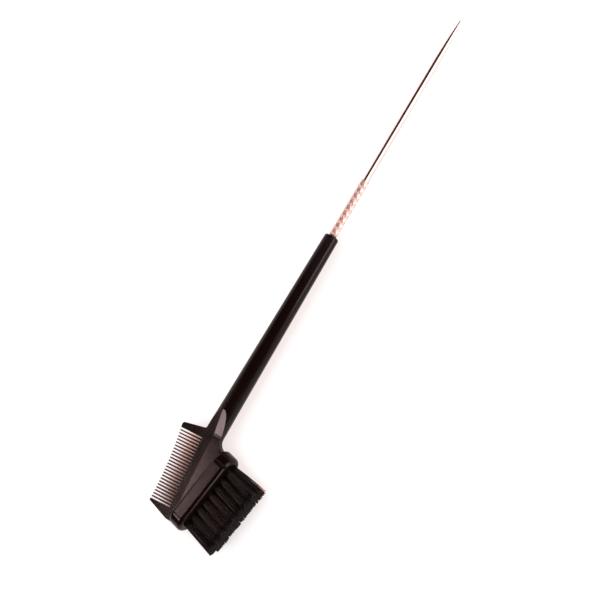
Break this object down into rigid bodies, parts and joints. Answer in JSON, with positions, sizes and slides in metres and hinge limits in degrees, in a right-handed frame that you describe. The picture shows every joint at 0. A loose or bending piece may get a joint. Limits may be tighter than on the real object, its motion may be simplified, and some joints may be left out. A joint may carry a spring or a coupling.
{
  "type": "tint brush",
  "caption": "Salon tint brush: a tapered round handle with a steel tail pin, and a flat head with a fine comb on one edge and a tufted bristle block on the other.",
  "frame": {"origin": "on the handle's axis, in the plane of its end face, where the tail pin comes out", "axes": "+X along the handle, from the pin towards the head; +Y towards the bristles, so the comb is at -Y; +Z through the head's thickness"},
  "size_m": [0.243, 0.0484, 0.0118],
  "materials": {
    "moulding": "satin to gloss injection moulding, warm black",
    "tail_steel": "bright plated steel, knurled where it leaves the handle and polished beyond",
    "bristles": "black nylon filament in round bundles",
    "anchor_steel": "plain sheet, hidden in the tuft holes"
  },
  "bodies": {
    "root": {"moulded_body": "moulding", "tail_pin": "tail_steel", "tuft_near_1": "bristles", "anchor_near_1": "anchor_steel", "tuft_near_2": "bristles", "anchor_near_2": "anchor_steel", "tuft_near_3": "bristles", "anchor_near_3": "anchor_steel", "tuft_near_4": "bristles", "anchor_near_4": "anchor_steel", "tuft_near_5": "bristles", "anchor_near_5": "anchor_steel", "tuft_near_6": "bristles", "anchor_near_6": "anchor_steel", "tuft_near_7": "bristles", "anchor_near_7": "anchor_steel", "tuft_near_8": "bristles", "anchor_near_8": "anchor_steel", "tuft_far_1": "bristles", "anchor_far_1": "anchor_steel", "tuft_far_2": "bristles", "anchor_far_2": "anchor_steel", "tuft_far_3": "bristles", "anchor_far_3": "anchor_steel", "tuft_far_4": "bristles", "anchor_far_4": "anchor_steel", "tuft_far_5": "bristles", "anchor_far_5": "anchor_steel", "tuft_far_6": "bristles", "anchor_far_6": "anchor_steel", "tuft_far_7": "bristles", "anchor_far_7": "anchor_steel", "tuft_far_8": "bristles", "anchor_far_8": "anchor_steel"}
  },
  "joints": []
}
